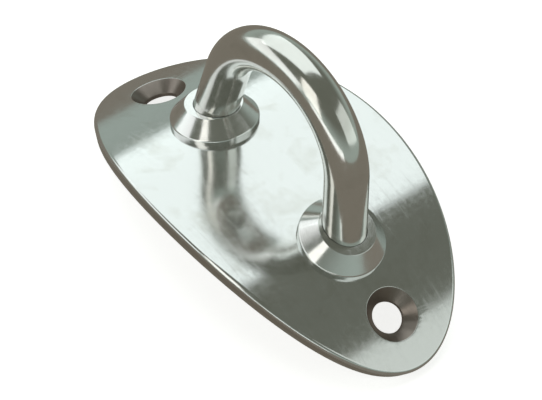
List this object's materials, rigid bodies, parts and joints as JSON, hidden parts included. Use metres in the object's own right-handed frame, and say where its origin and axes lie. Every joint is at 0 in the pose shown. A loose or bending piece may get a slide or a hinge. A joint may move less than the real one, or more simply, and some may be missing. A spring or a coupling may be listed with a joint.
{
  "type": "pad eye",
  "caption": "Pad eye with an oval plate bent to fit a round mast, a round-bar eye rising from cone collars, and countersunk screw holes near the tips.",
  "frame": {"origin": "middle of the hollow back face, where the plate sits on the crest of the mast", "axes": "+Z away from the mast and out through the eye, +X along the plate from screw hole to screw hole, Y along the mast's own axis"},
  "size_m": [0.0608, 0.036, 0.0345],
  "materials": {
    "plate_steel": "mirror-polished stainless steel sheet",
    "bar_steel": "polished stainless steel bar with faint lengthwise polishing lines",
    "collar_steel": "turned and polished stainless steel",
    "weld_steel": "ground stainless weld, satin"
  },
  "bodies": {
    "root": {"base_plate": "plate_steel", "eye_loop": "bar_steel", "left_collar": "collar_steel", "right_collar": "collar_steel", "left_weld": "weld_steel", "right_weld": "weld_steel"}
  },
  "joints": []
}
